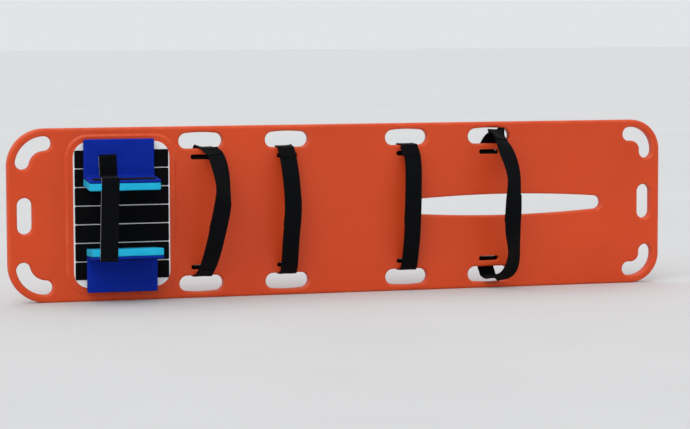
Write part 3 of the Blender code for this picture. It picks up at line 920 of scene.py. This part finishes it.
def lifted(line, lift, shift=0.0):
    return [s._replace(point=s.point + s.normal * lift + s.across * shift) for s in line]


def cut(line, start, end):
    return [s for s in line if start <= s.run <= end]


def ribbon(bm, line, width, thickness, material_index=0, seed=0, wide_until=None, columns=14):
    """Webbing with thick rounded selvedges, slightly cupped and rippled. Up to the run
    wide_until it is wider than elsewhere, so that it fills its slot."""
    uv = bm.loops.layers.uv.get("UVMap") or bm.loops.layers.uv.new("UVMap")
    fractions = [-math.cos(math.pi * i / columns) for i in range(columns + 1)]
    swell, middle, spread = SELVEDGE
    section = []
    for face in (1, -1):
        for c in (fractions if face > 0 else fractions[-2:0:-1]):
            edge = math.sqrt(max(0.0, 1.0 - abs(c) ** SECTION_POWER))
            selvedge = 1.0 + swell * math.exp(-((abs(c) - middle) / spread) ** 2)
            section.append((c, face * edge * selvedge * thickness / 2))
    ripple_height, *paces = RIPPLE
    rings = []
    for s in line:
        verts = []
        widening = 1.0
        if wide_until:
            widening += (SLOT_FILL / WEB_WIDTH - 1.0) * max(0.0, min(1.0, (wide_until - s.run) / SLOT_FADE))
        for c, height in section:
            ripple = ripple_height * noise.noise(Vector((s.run * paces[0], c * paces[1], seed * paces[2])))
            lift = height + ripple - WEB_CUP * c * c
            verts.append(bm.verts.new(s.point + s.across * (c * widening * width / 2) + s.normal * lift))
        rings.append(verts)
    count = len(section)
    for k, (first, second) in enumerate(zip(rings, rings[1:])):
        for i in range(count):
            j = (i + 1) % count
            face = bm.faces.new((first[i], first[j], second[j], second[i]))
            face.material_index = material_index
            corners = ((section[i][0], line[k].run), (section[j][0], line[k].run),
                       (section[j][0], line[k + 1].run), (section[i][0], line[k + 1].run))
            for loop, (c, run) in zip(face.loops, corners):
                loop[uv].uv = (c * width / 2, run)
    for end in (rings[0], rings[-1]):
        bm.faces.new(end).material_index = material_index


def surface_point(line, run, c, lift):
    """A point above a ribbon and the ribbon's normal there; c is metres across it."""
    runs = [s.run for s in line]
    k = max(1, min(bisect_right(runs, run), len(line) - 1))
    a, b = line[k - 1], line[k]
    share = max(0.0, min(1.0, (run - a.run) / max(b.run - a.run, 1e-9)))
    normal = a.normal.lerp(b.normal, share)
    return a.point.lerp(b.point, share) + a.across.lerp(b.across, share) * c + normal * lift, normal


def sew(bm, line, corners, lift):
    """A row of raised stitches through corners, each (run along the ribbon, metres across it)."""
    for (run_a, c_a), (run_b, c_b) in zip(corners, corners[1:]):
        count = max(1, round(math.hypot(run_b - run_a, c_b - c_a) / STITCH))

        def between(share):
            return surface_point(line, run_a + (run_b - run_a) * share, c_a + (c_b - c_a) * share, lift)

        for i in range(count):
            tips = [between((i + share) / count)[0] for share in STITCH_SPAN]
            middle, normal = between((i + 0.5) / count)
            side = (tips[1] - tips[0]).cross(normal).normalized() * THREAD_R
            belt = [bm.verts.new(middle + offset) for offset in
                    (side, normal * THREAD_R, -side, -normal * THREAD_R)]
            ends = [bm.verts.new(tip) for tip in tips]
            for a, b in zip(belt, belt[1:] + belt[:1]):
                for end in ends:
                    bm.faces.new((a, b, end)).material_index = 1


def box_stitch(bm, line, start, end, lift):
    half = BOX_STITCH_WIDTH / 2
    sew(bm, line, ((start, -half), (end, -half), (end, half), (start, half), (start, -half)), lift)
    sew(bm, line, ((start, -half), (end, half)), lift)
    sew(bm, line, ((start, half), (end, -half)), lift)


def bar_path(u, side, shift, through):
    """Through the webbing slot, behind its bar and out of the handhole, up to the hinge."""
    back = -THICKNESS - LOOP_BACK_GAP
    inner = WEB_SLOT_V + WEB_SLOT[1] / 2 - LOOP_SLOT_GAP
    outer = HANDHOLE_V - HANDHOLE[1] / 2 + LOOP_HANDHOLE_GAP
    mouth = WEB_SLOT_V - WEB_SLOT[1] / 2 + LOOP_MOUTH_GAP
    path = [(LOOP_START_OUT, mouth, LOOP_START_ASIDE[0]), (back, inner, LOOP_START_ASIDE[1])]
    if not through:
        path += [(back, outer, shift / 2)]
    elif side > 0:
        path += [(back, outer, LOOP_BACK_ASIDE)] + LOOP_OVER
    else:
        path += [(back, outer, 0.0)] + LOOP_UNDER
    return [place(u + aside, side * v, out) for out, v, aside in path]


def twist_of(turns, side, through):
    """The ribbon's turn about its own line at a point, the same for both halves of a strap.
    It fades out near the board, and a loop that hangs over its bar turns behind the board."""
    def bell(value, middle, spread):
        return math.exp(-((value - middle) / spread) ** 2)

    def at(point):
        out, v = -point.y - THICKNESS / 2, point.z - WIDTH / 2
        clear = max(0.0, min(1.0, out / TWIST_CLEARANCE))
        angle = clear * sum(side * degrees * bell(v, middle, spread) for middle, spread, degrees in turns)
        if through and side > 0:
            behind = max(0.0, min(1.0, (LOOP_TURN_DEPTH[0] - out) / LOOP_TURN_DEPTH[1]))
            angle += behind * LOOP_TURN[2] * bell(v, LOOP_TURN[0], LOOP_TURN[1])
        return math.radians(angle)
    return at


def half_line(stretch, side, u, through, turns):
    """The line of one strap half, from its slot round the bar and along its free stretch, and
    the run at which it reaches its hinge."""
    hinge = stretch[0]
    loop = bar_path(u, side, hinge.x - u, through)
    path = ease_corners(loop + [hinge, stretch[HINGE_POINTS - 1]], HANGING_BEND if through else LOOP_BEND)
    path = even_steps(path + stretch[HINGE_POINTS:], WEB_STEP)
    line = stations(path, -side, twist_of(turns, side, through))
    return line, next(s.run for s in line if (s.point - hinge).length < 2 * WEB_STEP)


def tucked(line, free):
    """The lower half's line: beyond its hinge it sinks, to pass under the upper half."""
    total = line[-1].run
    under = []
    for s in line:
        share = min(1.0, max(0.0, 2 * (s.run - free) / (total - free)))
        under.append(s._replace(point=s.point - s.normal * LAP_STEP * share))
    return under


def sewn_tab(bm, line, free, shift, seed):
    """The end that comes back under the strap beside its bar, and its box stitch."""
    tab = cut(line, free + TAB[0], free + TAB[1])
    ribbon(bm, lifted(tab, -WEB_T * 1.08, shift), WEB_WIDTH - TAB_NARROWER, WEB_T, 0, seed)
    box_stitch(bm, line, free + TAB[0] + TAB_STITCH_INSET[0], free + TAB[1] - TAB_STITCH_INSET[1],
               WEB_T / 2 - STITCH_SINK)


def hem(bm, line, seed):
    """The upper half's end, folded back on itself, with a seam across both ends of the fold."""
    total = line[-1].run
    ribbon(bm, lifted(cut(line, total - HEM, total), WEB_T * 1.02), WEB_WIDTH, WEB_T, 0, seed)
    for run in (total - HEM + SEAM_INSET, total - SEAM_INSET):
        sew(bm, line, ((run, -SEAM_HALF), (run, SEAM_HALF)), WEB_T * 1.52)


def strap_hook_patch(bm, line, seed):
    """The hook patch on the lower half, beside the lap, sewn down on three sides."""
    total = line[-1].run
    patch = cut(line, total - HOOK_PATCH_START, total - 2 * LAP - HOOK_PATCH_GAP)
    ribbon(bm, lifted(patch, WEB_T * 0.72), WEB_WIDTH - HOOK_PATCH_NARROWER, WEB_T * 0.5, 2, seed)
    half = HOOK_PATCH_SEAM_HALF
    for c in (-half, half):
        sew(bm, line, ((patch[0].run, c), (patch[-1].run, c)), WEB_T)
    run = patch[0].run + HOOK_PATCH_SEAM_INSET
    sew(bm, line, ((run, -half), (run, half)), WEB_T)


def body_strap(number):
    """Two halves that lap at the middle. Each is one strap: its loop round the bar, its free
    stretch, the tab sewn under it, and its hem or hook patch with their stitching."""
    u, route = HANDHOLE_U[number - 1], STRAP_ROUTES[number - 1]
    through, turns = THROUGH_HANDHOLE[number - 1], STRAP_TWISTS[number - 1]
    points = smooth_route([place(u + shift, v, out) for shift, out, v in route], ROUTE_STEPS)
    upper = [p for p in points if p.z - WIDTH / 2 > -LAP]
    lower = [p for p in points if p.z - WIDTH / 2 < LAP][::-1]
    for half, stretch, side in (("upper", upper, 1), ("lower", lower, -1)):
        hinge = stretch[0]
        line, free = half_line(stretch, side, u, through, turns)
        if half == "lower":
            line = tucked(line, free)
        bm = bmesh.new()
        seed = number * 2 + (side > 0)
        ribbon(bm, line, WEB_WIDTH, WEB_T, 0, seed, SLOT_RUN)
        sewn_tab(bm, line, free, TAB_SHIFT[number - 1] if half == "upper" else 0.0, seed)
        if half == "upper":
            hem(bm, line, seed)
        else:
            strap_hook_patch(bm, line, seed)
        prefix = "strap_%d_%s" % (number, half)
        obj = piece(prefix + "_webbing", bm, [WEB, THREAD, HOOK], None,
                    [prefix + "_loop", prefix + "_half"])
        start = Vector((hinge.x, hinge.y + 0.0005, hinge.z))
        end = Vector((hinge.x, hinge.y - 0.0100, hinge.z))
        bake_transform(obj, "board", prefix, start=start, end=end)


def head_strap():
    """From its tail on the upper flange, up the tape and across both ridges."""
    span_low, span_high = board_box("head_strap_span")
    ridge = (span_low.z + span_high.z) / 2
    start = span_high.y
    low, high = board_box("upper_block_foam")
    flange = low.z + FLANGE_T + TAIL_LIFT
    face = board_box("upper_block_tape")[1].y + TAPE_CLEARANCE
    path = [(face + TAIL_ON_FLANGE, flange), (face, flange), (face + FACE_LEAN, ridge),
            (start - RIDGE_RUN, ridge)]
    for i in range(1, SAG_STEPS + 1):
        t = i / SAG_STEPS
        v = start - RIDGE_RUN + (HEAD_STRAP_END - start + RIDGE_RUN) * t
        path.append((v, ridge - SAG * math.sin(math.pi * min(1.0, t / SAG_SHARE)) ** 2))
    asides = list(TAIL_ASIDE) + [0.0] * (len(path) - len(TAIL_ASIDE))
    world = [place(HEAD_STRAP_U + HEAD_STRAP_SLANT * (v - start) + aside, v, out)
             for (v, out), aside in zip(path, asides)]
    line = stations(even_steps(ease_corners(world, HEAD_STRAP_BEND), WEB_STEP), 1)
    bm = bmesh.new()
    ribbon(bm, line, WEB_WIDTH, WEB_T, 0, HEAD_STRAP_SEED)
    # The pale grey layer under the strap, shifted to one side, shows as a thin pale line along one edge.
    edge_layer_line = lifted(line[2:-2], -WEB_T * 0.72, EDGE_LAYER_SHIFT)
    ribbon(bm, edge_layer_line, WEB_WIDTH - EDGE_LAYER_NARROWER, WEB_T * 0.35, 2, HEAD_STRAP_SEED)
    for run in (HEAD_STRAP_SEAM_INSET[0], line[-1].run - HEAD_STRAP_SEAM_INSET[1]):
        sew(bm, line, ((run, -SEAM_HALF), (run, SEAM_HALF)), WEB_T / 2 - STITCH_SINK)
    obj = piece("head_strap_webbing", bm, [WEB, THREAD, GREY_EDGE_LAYER], None,
                ["head_strap_tail", "head_strap_span"])
    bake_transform(obj, "upper_block", "head_strap", start=place(HEAD_STRAP_U, start + 0.001, ridge),
             end=place(HEAD_STRAP_U, start - 0.012, ridge))


# ---------------------------------------------------------------- stage
def floor():
    bm = bmesh.new()
    bm.faces.new([bm.verts.new((x * FLOOR_HALF, y * FLOOR_HALF, 0.0))
                  for x, y in ((-1, -1), (1, -1), (1, 1), (-1, 1))])
    mesh = bpy.data.meshes.new("floor")
    bm.to_mesh(mesh)
    bm.free()
    mesh.materials.append(floor_paint())
    obj = bpy.data.objects.new("floor", mesh)
    bpy.context.scene.collection.objects.link(obj)


def sun(name, direction, strength, softness, colour=(1, 1, 1)):
    """Even light from one direction, soft as from a large window."""
    data = bpy.data.lights.new(name, "SUN")
    data.energy = strength
    data.angle = math.radians(softness)
    data.color = colour
    obj = bpy.data.objects.new(name, data)
    obj.rotation_euler = Vector(direction).to_track_quat("-Z", "Y").to_euler()
    bpy.context.scene.collection.objects.link(obj)


def lights():
    world = bpy.data.worlds.new("studio")
    world.use_nodes = True
    background = world.node_tree.nodes["Background"]
    background.inputs["Color"].default_value = WORLD_COLOUR
    background.inputs["Strength"].default_value = WORLD_STRENGTH
    bpy.context.scene.world = world
    sun("key", (0.42, 0.62, -0.80), 1.05, 38.0, (1.0, 0.985, 0.96))
    sun("top", (0.05, -0.25, -1.0), 0.65, 60.0)


def camera():
    """Seen from the head side, a little above the board, with a long lens."""
    data = bpy.data.cameras.new("camera")
    data.sensor_width = SENSOR_WIDTH
    data.lens = CAMERA_LENS
    data.clip_end = CAMERA_REACH
    obj = bpy.data.objects.new("camera", data)
    right, up = Vector(CAMERA_RIGHT), Vector(CAMERA_UP)
    turn = Matrix((right, up, right.cross(up))).transposed()
    obj.matrix_world = Matrix.Translation(CAMERA_PLACE) @ turn.to_4x4()
    bpy.context.scene.collection.objects.link(obj)
    bpy.context.scene.camera = obj


# ---------------------------------------------------------------- everything
board()
for end_name in ("head", "foot"):
    port_plug(end_name)
head_base()
head_block("upper_block", 1, 3)
head_block("lower_block", -1, 8)
head_strap()
for strap_number in range(1, len(STRAP_ROUTES) + 1):
    body_strap(strap_number)
for node_name, node_material in (("foam_core", CORE), ("stiffener_rod_upper", ROD),
                                 ("stiffener_rod_lower", ROD)):
    node_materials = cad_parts[node_name].data.materials
    node_materials.clear()
    node_materials.append(node_material)
floor()
lights()
camera()
bpy.context.scene.view_settings.view_transform = "Standard"
